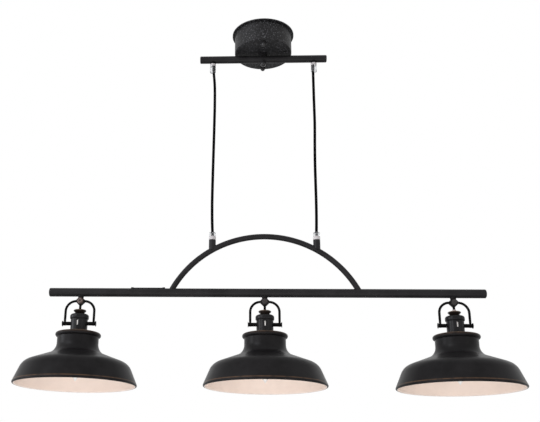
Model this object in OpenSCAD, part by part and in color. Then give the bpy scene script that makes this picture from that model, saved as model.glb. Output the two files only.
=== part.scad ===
// Three-light linear pendant: round canopy, upper bar, two hanging cords, arched lower bar and three tilting lamps.
// Millimetres. The origin is on the ceiling at the canopy's centre, Z is up, X runs along the bars, -Y is the front.

/* [Canopy] */
// Outside diameter of the thin flange that lies on the ceiling
flange_diameter = 143; // [138:1:160]
// Outside diameter of the canopy's can
canopy_diameter = 132; // [126:1:134]
// Height of the canopy from the ceiling to its flat bottom face
canopy_depth = 51; // [44:1:60]
// Sheet thickness of the canopy
canopy_sheet = 1.2; // [1:0.1:1.6]
// Distance from the can's side to the middle of each cap nut
cap_nut_inset = 13.5; // [12:0.5:18]
// Height of the domed cap nuts under the canopy
cap_nut_height = 11; // [9:0.5:13]

/* [Upper bar] */
// Overall length of the upper bar over its end plugs
upper_bar_length = 294; // [270:1:320]
// Outside diameter of the upper bar
upper_bar_diameter = 17; // [14:0.5:18]
// Gap between the canopy's bottom face and the top of the upper bar
bar_gap = 3.5; // [2.5:0.5:6]
// Diameter of the round nut under the middle of the upper bar
bar_nut_diameter = 17; // [15:0.5:20]

/* [Cords] */
// Outside diameter of the two hanging cords
cord_diameter = 6.2; // [5.2:0.2:6.6]
// Distance between the two cords at the upper bar
cord_spacing_top = 230; // [222:1:240]
// Distance between the two cords at the arch
cord_spacing_bottom = 224; // [216:1:230]
// Outside diameter of the upper clear cord grips
upper_grip_diameter = 13.5; // [13:0.5:15]
// Outside diameter of the lower clear cord grips
grip_diameter = 15; // [13:0.5:17]
// Height of the upper clear grips
upper_grip_height = 22; // [18:1:26]
// Height of the lower clear grips
lower_grip_height = 17; // [14:1:20]

/* [Lower frame] */
// Drop from the ceiling to the axis of the lower bar
bar_drop = 624; // [560:1:700]
// Overall length of the lower bar over its end plugs
lower_bar_length = 916; // [880:1:1000]
// Outside diameter of the lower bar
lower_bar_diameter = 18.5; // [16:0.5:20]
// Wall of the bar tubes
tube_wall = 1.5; // [1.2:0.1:2]
// Radius of the arch along the middle of its tube
arch_radius = 222; // [215:1:230]
// Height of the middle of the arch above the lower bar's axis
arch_rise = 125; // [118:1:132]
// Outside diameter of the arch tube
arch_tube_diameter = 12; // [9:0.5:12]
// Diameter of the two upright bosses on the arch
boss_diameter = 15; // [12:0.2:16]
// Length of the bosses from the middle of the arch's tube to their tops
boss_length = 22.4; // [20:0.2:30]
// Distance from one lamp to the next
lamp_spacing = 390; // [370:1:410]
// Length of the slim saddle strip on top of the lower bar
wiring_cover_length = 72; // [50:1:90]

/* [Lamp head] */
// Width of the faceted knuckle over its flats
hub_width = 18.5; // [17:0.5:20]
// Drop from the lower bar's axis to the knuckle's centre
hub_drop = 19.3; // [18.3:0.1:21]
// Drop from the lower bar's axis to the pivot pins
pin_drop = 67.6; // [66:0.1:70]
// Distance between the two uprights of the bail
bail_width = 61; // [56:1:70]
// Diameter of the bail's rod
bail_rod = 5.2; // [4.2:0.2:5.6]
// Radius of the bail's bends along the middle of the rod
bail_bend = 21.5; // [16:0.5:22]
// Diameter of the pivot pins between the bail's eyes and the socket cover
pin_diameter = 8; // [6:0.2:8.4]
// Diameter of the pivot pins' flared caps
pin_cap_diameter = 11.8; // [10.5:0.1:13]
// Diameter of the short lead between the knuckle and the cup
lead_diameter = 5.2; // [4:0.2:5.6]
// Diameter of the funnel cup at its rim
cup_diameter = 26.6; // [22:0.2:30]
// Outside diameter of the socket cover
cover_diameter = 35.5; // [34:0.5:38]
// Outside diameter of the rounded collar at the top of the socket cover
collar_diameter = 39.4; // [38.4:0.2:42]
// Width of the slot in the front of the socket cover
slot_width = 2.7; // [2.4:0.1:4]
// Height of the slot over its round ends
slot_height = 10.8; // [8:0.2:13]
// Drop from the lower bar's axis to the middle of the slot
slot_drop = 68; // [66:0.5:71]
// How much higher the right lamp's bushing stands in its cup
right_bushing_rise = 3.2; // [0:0.2:4]

/* [Shade] */
// Outside diameter of the shade at its rim
shade_diameter = 254; // [246:1:262]
// Outside diameter of the shade's neck
neck_diameter = 86; // [82:0.5:92]
// Outside diameter of the rolled ring around the top of the neck
ring_diameter = 94.6; // [93:0.2:98]
// Drop from the lower bar's axis to the shade's flat top
shade_top_drop = 88; // [87:0.5:91]
// Drop from the lower bar's axis to the shade's rim
rim_drop = 196.6; // [192:0.2:202]
// Sheet thickness of the shade
shade_sheet = 1.2; // [1:0.1:1.5]
// Diameter of the wire bead around the rim
rim_bead = 5.2; // [4:0.2:6]
// Widest diameter of the bulb
bulb_diameter = 35; // [33:0.5:38]
// Drop from the lower bar's axis to the bulb's tip
bulb_tip_drop = 188; // [182:0.5:192]

/* [Hidden] */
$fn = 96;

black = [0.16, 0.155, 0.16];
bronze = [0.3, 0.22, 0.17];
cord_black = [0.03, 0.03, 0.035];
clear = [0.85, 0.87, 0.88, 0.5];
steel = [0.7, 0.7, 0.72];
white = [0.93, 0.88, 0.83];
pale = [0.8, 0.74, 0.66];

// Clearances
running_play = 0.05;
slip_play = 0.05;
soft_gap = 0.3;

// Canopy
flange_thickness = 2.6;
canopy_corner = 3;
plate_thickness = 2;
plate_clearance = 5.3;
plate_length = canopy_diameter - 2 * canopy_sheet - 2 * plate_clearance;
cap_nut_spacing = canopy_diameter - 2 * cap_nut_inset;
plate_width = 24;
box_screw_spacing = 70;
box_screw_hole = 4.8;
plate_centre_hole = 20;
stud_diameter = 5;
nut_base_diameter = 13;
nut_dome_diameter = 11;
nut_base_height = 4;
nipple_diameter = 10;
nipple_bore = 6.4;
locknut_flats = 14;
locknut_height = 4;
nipple_above = 7;
block_length = 30;
block_width = 14;
block_height = 12;
nut_flange = 2;

// Upper bar and cord entries
upper_wall = 1.3;
plug_cap = 3;
plug_reach = 10;
plug_round = 2.2;
spacer_diameter = 20;
collar_height = 3.5;
collar_width = 13;
grip_taper = 1.5;
grip_shift = 2;
upper_axis = -canopy_depth - bar_gap - upper_bar_diameter / 2;
upper_collar_bottom = upper_axis - upper_bar_diameter / 2 - collar_height;
upper_grip_bottom = upper_collar_bottom - upper_grip_height;
grip_throat = cord_diameter / 2 + soft_gap;

// Lower frame
lower_axis = -bar_drop;
boss_x = cord_spacing_bottom / 2;
arch_at_boss = lower_axis + arch_rise - arch_radius + sqrt(arch_radius * arch_radius - boss_x * boss_x);
lower_grip_bottom = arch_at_boss + boss_length;
lower_grip_top = lower_grip_bottom + lower_grip_height;
arch_wall = 1.2;
cover_strip_gap = 4.7;
arch_foot = sqrt((arch_radius + arch_tube_diameter / 2) ^ 2 - (arch_radius - arch_rise) ^ 2);
cover_strip_width = 9;
cover_strip_height = 1.4;
cover_strip_end = 5;

// Lamp head, heights below are measured from the lower bar's axis
hub_neck_top = 14;
hub_neck_bottom = 11.4;
hub_spigot = 9.5;
hub_bore = 3.6;
hub_bottom = hub_drop + hub_width / 2;
hub_diamond = 0.63 * hub_width;
hub_chamfer = 0.81 * hub_width;
chamfer_tilt = acos(1 / sqrt(3));
arm_reach = 4;
screw_diameter = 4;
screw_stand_out = 0.6;
screw_depth = 3.2;
screw_socket = 1.8;
eye_diameter = 8.6;
eye_side = 0.1;
eye_width = bail_rod + 2 * eye_side;
journal_diameter = 4;
cap_thickness = 2.4;
cap_inner_diameter = 7.8;
pin_reach = 5;
pin_end = cover_diameter / 2 - pin_reach;
lead_top = hub_bottom + soft_gap;
bushing_top = 37.6;
bushing_shoulder = 42;
bushing_seat = 46.6;
bushing_diameter = 10.2;
bushing_bore = 3.6;
bushing_tip = 7.2;
cup_rim = 38.6;
cup_edge = 1.3;
cup_wall = 1;
cup_foot = 48;
cup_foot_diameter = 16.4;
cup_spigot = 9.4;
cup_spigot_length = 4;
cover_top = 48;
cover_wall = 1.1;
collar_round = 4.5;
collar_band = 3.6;
collar_under = 3.4;
collar_bottom = cover_top + collar_round + collar_band + collar_under;
holder_top = 62;
holder_floor = 86;
holder_bottom = 112;
skirt_diameter = 30.6;
base_diameter = 26;
base_play = 0.3;
base_bottom = 111;
ring_nut_diameter = 40;
ring_nut_height = 6;
glass = 0.8;
glass_neck = 24.6;
glass_wide = 138;
glass_neck_end = 128;

// Shade profile
flare_radius = 24;
flare_start_drop = 110.6;
slope_angle = 20.5;
shoulder_radius = 29;
wall_angle = 66.8;
ring_round = (ring_diameter - neck_diameter) / 2 + 0.4;
neck_radius = neck_diameter / 2;
rim_radius = shade_diameter / 2;
bead_radius = rim_bead / 2;
bead_r = rim_radius - bead_radius;
bead_z = -rim_drop + bead_radius;
flare_centre = [neck_radius + flare_radius, -flare_start_drop];
flare_end = flare_centre - flare_radius * [sin(slope_angle), cos(slope_angle)];
wall_slope = tan(wall_angle);
top_slope = tan(slope_angle);
wall_foot = [bead_r, bead_z] + bead_radius * [sin(wall_angle), cos(wall_angle)];
corner_r = (wall_foot[1] + wall_slope * wall_foot[0] - flare_end[1] - top_slope * flare_end[0])
  / (wall_slope - top_slope);
corner = [corner_r, flare_end[1] - top_slope * (corner_r - flare_end[0])];
shoulder_reach = shoulder_radius * tan((wall_angle - slope_angle) / 2);
shoulder_start = corner - shoulder_reach * [cos(slope_angle), -sin(slope_angle)];
shoulder_end = corner + shoulder_reach * [cos(wall_angle), -sin(wall_angle)];
shoulder_centre = shoulder_start - shoulder_radius * [sin(slope_angle), cos(slope_angle)];

// Cord shapes: sideways offset at each height under the ceiling
cord_ring_step = 13;
cord_seat_depth = 2;
cord_seat_step = 0.15;
left_cord_bend = [[-490, 0], [-470, -1], [-420, -1.5], [-340, 0], [-270, 1.5], [-190, 3], [-130, 3], [-97, 0]];
right_cord_bend = [[-490, 0], [-460, 0.8], [-420, 1], [-330, 0], [-280, 0.5], [-230, 1.5], [-160, 0.5], [-97, 0]];

module ring(outer, inner, height) {
  difference() {
    cylinder(d = outer, h = height);
    translate([0, 0, -1]) cylinder(d = inner, h = height + 2);
  }
}

module along_x(length, diameter) {
  translate([-length / 2, 0, 0]) rotate([0, 90, 0]) cylinder(d = diameter, h = length);
}

module both_sides(distance) {
  translate([distance, 0, 0]) children();
  mirror([1, 0, 0]) translate([distance, 0, 0]) children();
}

module front_and_rear(distance) {
  translate([0, distance, 0]) children();
  translate([0, -distance, 0]) children();
}

module rounded_plug(diameter, bore, cap, reach, round) {
  rotate([0, 90, 0]) rotate_extrude() {
    square([diameter / 2, cap - round]);
    square([diameter / 2 - round, cap]);
    translate([diameter / 2 - round, cap - round]) intersection() {
      circle(r = round);
      square(round);
    }
  }
  translate([-reach, 0, 0]) rotate([0, 90, 0]) cylinder(d = bore, h = reach);
}

module hanging_tube(points, sides) {
  count = len(points);
  corners = [for (p = points) for (k = [0:sides - 1])
    [p[0] + p[3] * cos(360 * k / sides), p[1] + p[3] * sin(360 * k / sides), p[2]]];
  first = [[for (k = [0:sides - 1]) k]];
  last = [[for (k = [0:sides - 1]) (count - 1) * sides + sides - 1 - k]];
  sides_list = [for (j = [0:count - 2]) for (k = [0:sides - 1])
    [j * sides + (k + 1) % sides, j * sides + k, (j + 1) * sides + k, (j + 1) * sides + (k + 1) % sides]];
  polyhedron(points = corners, faces = concat(first, sides_list, last));
}

function cord_points(top_x, bottom_x, bend) =
  let (
    span = upper_grip_bottom - lower_grip_top,
    count = round(span / cord_ring_step),
    radius = cord_diameter / 2
  )
  concat([[bottom_x, 0, lower_grip_top - cord_seat_depth, radius - cord_seat_step]], [for (j = [0:count])
    let (
      t = j / count,
      z = lower_grip_top + t * span,
      ends = (j == 0 || j == count) ? 0 : 1
    )
    [bottom_x + t * (top_x - bottom_x) + ends * lookup(z, bend), 0, z, radius - (j == 0 ? cord_seat_step : 0)]]);

function rounded_end(x, z, radius) =
  [for (a = [30, 55, 78]) [x, 0, z + radius * sin(a), radius * cos(a)]];

// Canopy

module mounting_plate() {
  color(steel) difference() {
    translate([-plate_width / 2, -plate_length / 2, -plate_thickness])
      cube([plate_width, plate_length, plate_thickness]);
    translate([0, 0, -plate_thickness - 1]) cylinder(d = plate_centre_hole, h = plate_thickness + 2);
    front_and_rear(box_screw_spacing / 2)
      translate([0, 0, -plate_thickness - 1]) cylinder(d = box_screw_hole, h = plate_thickness + 2);
    front_and_rear(cap_nut_spacing / 2)
      translate([0, 0, -plate_thickness - 1]) cylinder(d = stud_diameter, h = plate_thickness + 2);
  }
}

module canopy_profile(inset) {
  radius = canopy_diameter / 2 - inset;
  floor_z = -canopy_depth + inset;
  round = canopy_corner - inset;
  translate([0, floor_z + round]) square([radius, -floor_z - round + inset]);
  translate([0, floor_z]) square([radius - round, round]);
  translate([radius - round, floor_z + round]) intersection() {
    circle(r = round);
    translate([0, -round]) square(round);
  }
}

module canopy_shell() {
  color(black) difference() {
    union() {
      rotate_extrude() {
        difference() {
          canopy_profile(0);
          canopy_profile(canopy_sheet);
          square([canopy_diameter, canopy_depth]);
        }
      }
      difference() {
        translate([0, 0, -flange_thickness]) cylinder(d = flange_diameter, h = flange_thickness);
        translate([0, 0, -canopy_depth / 2])
          cylinder(d = canopy_diameter - 2 * canopy_sheet, h = canopy_depth);
      }
    }
    translate([0, 0, -canopy_depth - 1])
      cylinder(d = nipple_diameter + 2 * running_play, h = canopy_sheet + 2);
    front_and_rear(cap_nut_spacing / 2)
      translate([0, 0, -canopy_depth - 1]) cylinder(d = stud_diameter + 0.6, h = canopy_sheet + 2);
  }
}

module canopy_studs() {
  color(steel) front_and_rear(cap_nut_spacing / 2)
    translate([0, 0, -canopy_depth - cap_nut_height + 4])
      cylinder(d = stud_diameter, h = canopy_depth + cap_nut_height - 4);
}

module canopy_cap_nuts() {
  dome = nut_dome_diameter / 2;
  color(black) front_and_rear(cap_nut_spacing / 2)
    translate([0, 0, -canopy_depth]) difference() {
      rotate([180, 0, 0]) union() {
        cylinder(d = nut_base_diameter, h = nut_base_height);
        cylinder(d = nut_dome_diameter, h = cap_nut_height - dome);
        translate([0, 0, cap_nut_height - dome]) sphere(d = nut_dome_diameter);
      }
      translate([0, 0, -cap_nut_height + 4]) cylinder(d = stud_diameter, h = cap_nut_height);
      cylinder(d = canopy_diameter, h = canopy_depth / 2);
    }
}

module terminal_block() {
  color(pale) translate([plate_width / 2 - block_width, 14, -plate_thickness - block_height]) difference() {
    cube([block_width, block_length / 2 + 3, block_height]);
    translate([block_width / 2, 4, -1]) cylinder(d = 3, h = block_height / 2);
    translate([block_width / 2, 9, -1]) cylinder(d = 3, h = block_height / 2);
    translate([block_width / 2, 14, -1]) cylinder(d = 3, h = block_height / 2);
  }
}

module centre_nipple() {
  top = -canopy_depth + canopy_sheet + nipple_above;
  bottom = upper_axis - upper_bar_diameter / 2 - 4;
  color(steel) difference() {
    translate([0, 0, bottom]) cylinder(d = nipple_diameter, h = top - bottom);
    translate([0, 0, bottom + 2]) cylinder(d = nipple_bore, h = top - bottom);
    translate([0, 0, upper_axis]) along_x(nipple_diameter * 2, nipple_bore);
  }
}

module nipple_locknut() {
  color(steel) translate([0, 0, -canopy_depth + canopy_sheet]) difference() {
    intersection_for (turn = [0, 60, 120])
      rotate([0, 0, turn])
        translate([-locknut_flats / 2, -locknut_flats, 0]) cube([locknut_flats, locknut_flats * 2, locknut_height]);
    translate([0, 0, -1]) cylinder(d = nipple_diameter, h = locknut_height + 2);
  }
}

module bar_spacer() {
  color(black) difference() {
    translate([0, 0, upper_axis]) cylinder(d = spacer_diameter, h = -canopy_depth - upper_axis);
    translate([0, 0, upper_axis - 1]) cylinder(d = nipple_diameter, h = upper_bar_diameter + bar_gap);
    translate([0, 0, upper_axis]) along_x(upper_bar_length, upper_bar_diameter);
    translate([-spacer_diameter, -spacer_diameter, upper_axis - 1])
      cube([spacer_diameter * 2, spacer_diameter * 2, 1 + upper_bar_diameter / 4]);
  }
}

module bar_cap_nut() {
  flat = upper_axis - upper_bar_diameter / 2;
  dome = bar_nut_diameter / 2 - nut_flange;
  color(black) difference() {
    union() {
      translate([0, 0, flat - 1.5]) cylinder(d = bar_nut_diameter, h = 4);
      translate([0, 0, flat - 3.5]) cylinder(r = dome, h = 3);
      translate([0, 0, flat - 3.5]) sphere(r = dome);
    }
    translate([0, 0, flat - 4]) cylinder(d = nipple_diameter, h = upper_bar_diameter);
    translate([0, 0, upper_axis]) along_x(upper_bar_length, upper_bar_diameter);
    translate([0, 0, flat + 2.5]) cylinder(d = bar_nut_diameter + 2, h = upper_bar_diameter);
  }
}

// Upper bar

module upper_bar() {
  length = upper_bar_length - 2 * plug_cap;
  color(black) translate([0, 0, upper_axis]) difference() {
    along_x(length, upper_bar_diameter);
    along_x(length + 2, upper_bar_diameter - 2 * upper_wall);
    translate([0, 0, -upper_bar_diameter]) cylinder(d = nipple_diameter, h = upper_bar_diameter * 2);
    both_sides(cord_spacing_top / 2)
      translate([0, 0, -upper_bar_diameter]) cylinder(d = cord_diameter, h = upper_bar_diameter);
  }
}

module upper_end_plugs() {
  color(black) translate([0, 0, upper_axis]) both_sides(upper_bar_length / 2 - plug_cap)
    rounded_plug(upper_bar_diameter, upper_bar_diameter - 2 * upper_wall, plug_cap, plug_reach, plug_round);
}

module upper_collars() {
  color(black) both_sides(cord_spacing_top / 2) difference() {
    translate([grip_shift, 0, upper_collar_bottom]) cylinder(d = collar_width, h = collar_height + 4);
    translate([0, 0, upper_collar_bottom - 1]) cylinder(d = cord_diameter, h = upper_bar_diameter);
    translate([0, 0, upper_axis]) along_x(collar_width * 2, upper_bar_diameter);
  }
}

module upper_grips() {
  color(clear) both_sides(cord_spacing_top / 2) difference() {
    translate([grip_shift, 0, upper_grip_bottom]) {
      cylinder(d1 = upper_grip_diameter - grip_taper, d2 = upper_grip_diameter, h = grip_taper);
      translate([0, 0, grip_taper]) cylinder(d = upper_grip_diameter, h = upper_grip_height - grip_taper);
    }
    translate([0, 0, upper_grip_bottom - 1]) cylinder(d = cord_diameter, h = upper_grip_height + 2);
    translate([0, 0, upper_grip_bottom - 1]) cylinder(d = cord_diameter + 2 * soft_gap, h = grip_throat + 1);
  }
}

module cord_tails() {
  bottom = upper_grip_bottom + grip_throat;
  color(cord_black) both_sides(cord_spacing_top / 2)
    translate([0, 0, bottom]) cylinder(d = cord_diameter, h = upper_axis - bottom);
}

// Cords

module cord_piece(top_x, bottom_x, bend) {
  color(cord_black) {
    hanging_tube(concat(cord_points(top_x, bottom_x, bend),
      rounded_end(top_x, upper_grip_bottom, cord_diameter / 2)), 10);
    translate([bottom_x, 0, arch_at_boss]) cylinder(d = cord_diameter, h = lower_grip_top - arch_at_boss);
  }
}

module cord_left() {
  cord_piece(-cord_spacing_top / 2, -boss_x, left_cord_bend);
}

module cord_right() {
  cord_piece(cord_spacing_top / 2, boss_x, right_cord_bend);
}

module lower_grips() {
  color(clear) both_sides(boss_x) difference() {
    translate([0, 0, lower_grip_bottom]) {
      cylinder(d = grip_diameter, h = lower_grip_height - grip_taper);
      translate([0, 0, lower_grip_height - grip_taper])
        cylinder(d1 = grip_diameter, d2 = grip_diameter - grip_taper, h = grip_taper);
    }
    translate([0, 0, lower_grip_bottom - 1]) cylinder(d = cord_diameter, h = lower_grip_height + 2);
  }
}

// Lower frame

module arch_ring(diameter) {
  translate([0, 0, lower_axis + arch_rise - arch_radius])
    rotate([90, 0, 0]) rotate_extrude() translate([arch_radius, 0]) circle(d = diameter);
}

module arch_tube() {
  reach = arch_radius + arch_tube_diameter;
  color(black) difference() {
    intersection() {
      arch_ring(arch_tube_diameter);
      translate([-reach, -arch_tube_diameter, lower_axis]) cube([2 * reach, 2 * arch_tube_diameter, reach]);
    }
    arch_ring(arch_tube_diameter - 2 * arch_wall);
    translate([0, 0, lower_axis]) along_x(lower_bar_length, lower_bar_diameter);
    both_sides(boss_x) translate([0, 0, arch_at_boss]) cylinder(d = cord_diameter, h = boss_length);
  }
}

module cord_bosses() {
  color(black) both_sides(boss_x) difference() {
    translate([0, 0, arch_at_boss]) cylinder(d = boss_diameter, h = boss_length);
    translate([0, 0, arch_at_boss - 1]) cylinder(d = cord_diameter, h = boss_length + 2);
    translate([-boss_x, 0, 0]) arch_ring(arch_tube_diameter);
    translate([-boss_x, 0, 0]) translate([0, 0, lower_axis + arch_rise - arch_radius])
      rotate([90, 0, 0]) cylinder(r = arch_radius, h = boss_diameter * 2, center = true);
  }
}

module lower_bar() {
  length = lower_bar_length - 2 * plug_cap;
  color(black) translate([0, 0, lower_axis]) difference() {
    along_x(length, lower_bar_diameter);
    along_x(length + 2, lower_bar_diameter - 2 * tube_wall);
    for (x = [-lamp_spacing, 0, lamp_spacing])
      translate([x, 0, -lower_bar_diameter]) cylinder(d = hub_spigot, h = lower_bar_diameter);
  }
}

module lower_end_plugs() {
  color(black) translate([0, 0, lower_axis]) both_sides(lower_bar_length / 2 - plug_cap)
    rounded_plug(lower_bar_diameter, lower_bar_diameter - 2 * tube_wall, plug_cap, plug_reach, plug_round);
}

module wiring_cover() {
  thick = lower_bar_diameter + 2 * cover_strip_height;
  ends = thick + 1.6;
  color(black) translate([-arch_foot - cover_strip_gap - wiring_cover_length / 2, 0, lower_axis]) difference() {
    union() {
      along_x(wiring_cover_length, thick);
      both_sides(wiring_cover_length / 2 - cover_strip_end / 2) along_x(cover_strip_end, ends);
    }
    along_x(wiring_cover_length * 2, lower_bar_diameter);
    translate([-wiring_cover_length, -ends, -ends]) cube([2 * wiring_cover_length, 2 * ends, ends * 1.36]);
    translate([-wiring_cover_length, cover_strip_width / 2, -ends])
      cube([2 * wiring_cover_length, ends, 2 * ends]);
    translate([-wiring_cover_length, -ends - cover_strip_width / 2, -ends])
      cube([2 * wiring_cover_length, ends, 2 * ends]);
  }
}

module at_lamp(position) {
  translate([position * lamp_spacing, 0, lower_axis]) children();
}

module hub_set_screws() {
  color(bronze) for (position = [-1, 0, 1]) at_lamp(position)
    translate([0, -hub_width / 2 - screw_stand_out, -hub_drop]) rotate([-90, 0, 0]) difference() {
      cylinder(d = screw_diameter, h = screw_stand_out + screw_depth);
      translate([0, 0, -1]) cylinder(d = screw_socket, h = 2);
    }
}

module pin_caps() {
  color(black) for (position = [-1, 0, 1]) at_lamp(position) translate([0, 0, -pin_drop])
    both_sides(bail_width / 2 + eye_width / 2) rotate([0, 90, 0]) {
      cylinder(d1 = cap_inner_diameter, d2 = pin_cap_diameter, h = cap_thickness / 2);
      translate([0, 0, cap_thickness / 2]) cylinder(d = pin_cap_diameter, h = cap_thickness / 2);
    }
}

// One lamp, drawn around its own vertical line with the lower bar's axis at height zero

module hub() {
  size = hub_width;
  color(black) difference() {
    union() {
      translate([0, 0, -hub_drop]) intersection() {
        cube(size, center = true);
        rotate([0, 45, 0]) cube([hub_diamond * sqrt(2), size, hub_diamond * sqrt(2)], center = true);
        intersection_for (turn = [45, 135, 225, 315])
          rotate([0, chamfer_tilt, turn])
            cube([2 * size, 2 * size, 2 * hub_chamfer / sqrt(3)], center = true);
      }
      translate([0, 0, -hub_drop]) cylinder(d = hub_neck_bottom, h = hub_drop - 11);
      translate([0, 0, -12.4]) cylinder(d1 = hub_neck_bottom, d2 = hub_neck_top, h = 6.4);
      translate([0, 0, -8]) cylinder(d = hub_spigot, h = 6);
    }
    difference() {
      along_x(hub_neck_top * 2, lower_bar_diameter);
      translate([0, 0, -lower_bar_diameter]) cylinder(d = hub_spigot, h = lower_bar_diameter * 2);
    }
    translate([0, 0, -hub_bottom - 1]) cylinder(d = hub_bore, h = hub_bottom + 2);
    both_sides(hub_width / 2 - arm_reach) translate([0, 0, -hub_drop])
      rotate([0, 90, 0]) cylinder(d = bail_rod, h = hub_width);
    translate([0, -hub_width, -hub_drop]) rotate([-90, 0, 0])
      cylinder(d = screw_diameter, h = hub_width / 2 + screw_depth);
  }
}

module bail() {
  inner = hub_width / 2 - arm_reach;
  bend_x = bail_width / 2 - bail_bend;
  color(black) both_sides(0) difference() {
    union() {
      translate([inner, 0, -hub_drop]) rotate([0, 90, 0]) cylinder(d = bail_rod, h = bend_x - inner);
      translate([bend_x, 0, -hub_drop - bail_bend]) rotate([90, 0, 0])
        rotate_extrude(angle = 90) translate([bail_bend, 0]) circle(d = bail_rod);
      translate([bail_width / 2, 0, -pin_drop]) cylinder(d = bail_rod, h = pin_drop - hub_drop - bail_bend);
      translate([bail_width / 2, 0, -pin_drop]) along_x(eye_width, eye_diameter);
    }
    translate([bail_width / 2, 0, -pin_drop]) along_x(eye_width * 2, journal_diameter);
  }
}

module pivot_pins() {
  shoulder = (bail_width - eye_width) / 2;
  color(black) translate([0, 0, -pin_drop]) both_sides(pin_end) rotate([0, 90, 0]) {
    cylinder(d = pin_diameter, h = shoulder - pin_end);
    cylinder(d = journal_diameter, h = shoulder + eye_width - pin_end);
  }
}

module lead(rise) {
  radius = lead_diameter / 2;
  bottom = bushing_top - rise;
  color(cord_black)
    hanging_tube([for (z = [-bottom, -(bottom + lead_top) / 2, -lead_top]) [0, 0, z, radius]], 10);
}

module bushing(rise) {
  color(pale) rotate_extrude() polygon([
    [bushing_bore / 2, -bushing_top + rise], [bushing_tip / 2, -bushing_top + rise],
    [bushing_diameter / 2, -bushing_shoulder], [bushing_diameter / 2, -bushing_seat],
    [bushing_bore / 2, -bushing_seat]
  ]);
}

module cup() {
  rim = cup_diameter / 2;
  foot = cup_foot_diameter / 2;
  seat = bushing_diameter / 2;
  color(black) rotate_extrude() polygon([
    [rim - cup_wall - cup_edge, -cup_rim], [rim - cup_edge, -cup_rim], [rim, -cup_rim - cup_edge],
    [rim, -cup_rim - 1.6 * cup_edge],
    [foot, -cup_foot + 1.4], [foot, -cup_foot], [cup_spigot / 2, -cup_foot],
    [cup_spigot / 2, -cup_foot - cup_spigot_length], [bushing_bore / 2 + 1, -cup_foot - cup_spigot_length],
    [bushing_bore / 2 + 1, -bushing_seat], [seat, -bushing_seat], [seat, -bushing_seat + 2.2],
    [rim - cup_wall - cup_edge, -cup_rim - cup_edge]
  ]);
}

module slot_outline() {
  end = (slot_height - slot_width) / 2;
  square([slot_width, 2 * end], center = true);
  for (side = [-end, end]) translate([0, side]) circle(d = slot_width);
}

module socket_cover() {
  outer = cover_diameter / 2;
  inner = outer - cover_wall;
  collar = collar_diameter / 2;
  color(black) difference() {
    rotate_extrude() difference() {
      union() {
        translate([0, -shade_top_drop]) square([outer, shade_top_drop - collar_bottom + 1]);
        translate([0, -collar_bottom]) square([collar - collar_under, collar_bottom - cover_top - collar_round]);
        translate([0, -collar_bottom + collar_under]) square([collar, collar_band]);
        translate([0, -cover_top - collar_round]) square([collar - collar_round, collar_round]);
        translate([collar - collar_round, -cover_top - collar_round]) intersection() {
          circle(r = collar_round);
          square(collar_round);
        }
        translate([collar - collar_under, -collar_bottom + collar_under]) intersection() {
          circle(r = collar_under);
          translate([0, -collar_under]) square(collar_under);
        }
      }
      translate([0, -shade_top_drop - 1]) square([inner, shade_top_drop + 1 - cover_top - cover_wall]);
      translate([0, -cover_top - cover_wall - 1]) square([cup_spigot / 2, cover_wall + 2]);
    }
    translate([0, 0, -pin_drop]) along_x(cover_diameter * 2, pin_diameter + 2 * running_play);
    translate([0, 0, -slot_drop]) rotate([90, 0, 0]) linear_extrude(cover_diameter) slot_outline();
  }
}

module lampholder() {
  body = cover_diameter / 2 - cover_wall - slip_play;
  color(pale) difference() {
    rotate_extrude() polygon([
      [2.5, -holder_top], [body, -holder_top], [body, -shade_top_drop], [skirt_diameter / 2, -shade_top_drop],
      [skirt_diameter / 2, -holder_bottom], [base_diameter / 2 + base_play, -holder_bottom],
      [base_diameter / 2 + base_play, -holder_floor], [2.5, -holder_floor]
    ]);
    translate([0, 0, -pin_drop]) both_sides(pin_end - soft_gap) rotate([0, 90, 0])
      cylinder(d = pin_diameter + 2 * running_play, h = cover_diameter);
  }
}

module shade_solid(inset) {
  start = flare_centre + [-flare_radius - inset, 0];
  slope_from = flare_end - inset * [sin(slope_angle), cos(slope_angle)];
  middle_angle = (slope_angle + wall_angle) / 2;
  bend = corner - inset / cos((wall_angle - slope_angle) / 2) * [sin(middle_angle), cos(middle_angle)];
  wall_to = wall_foot - inset * [sin(wall_angle), cos(wall_angle)];
  difference() {
    polygon([
      [0, wall_to[1]], wall_to, bend, slope_from, flare_centre, start,
      [neck_radius - inset, -shade_top_drop - inset], [0, -shade_top_drop - inset]
    ]);
    translate(flare_centre) circle(r = flare_radius + inset);
    translate(shoulder_centre) difference() {
      polygon([
        [0, 0], 1.3 * (shoulder_end - shoulder_centre), 1.5 * (corner - shoulder_centre),
        1.3 * (shoulder_start - shoulder_centre)
      ]);
      circle(r = shoulder_radius - inset);
    }
  }
}

module shade() {
  color(black) rotate_extrude() difference() {
    union() {
      difference() {
        shade_solid(0);
        shade_solid(shade_sheet);
        translate([0, -rim_drop - 20]) square([shade_diameter, 20 + bead_radius - shade_sheet / 2]);
      }
      translate([bead_r, bead_z]) circle(r = bead_radius);
      translate([ring_diameter / 2 - ring_round, -shade_top_drop - ring_round + 0.4]) intersection() {
        circle(r = ring_round);
        translate([-ring_diameter / 2 + ring_round + neck_radius - shade_sheet, -ring_round])
          square(2 * ring_round);
      }
    }
    translate([0, -shade_top_drop - 2]) square([skirt_diameter / 2 + slip_play, 4]);
  }
}

module ring_nut() {
  color(pale) translate([0, 0, -shade_top_drop - shade_sheet - ring_nut_height])
    ring(ring_nut_diameter, skirt_diameter, ring_nut_height);
}

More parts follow.
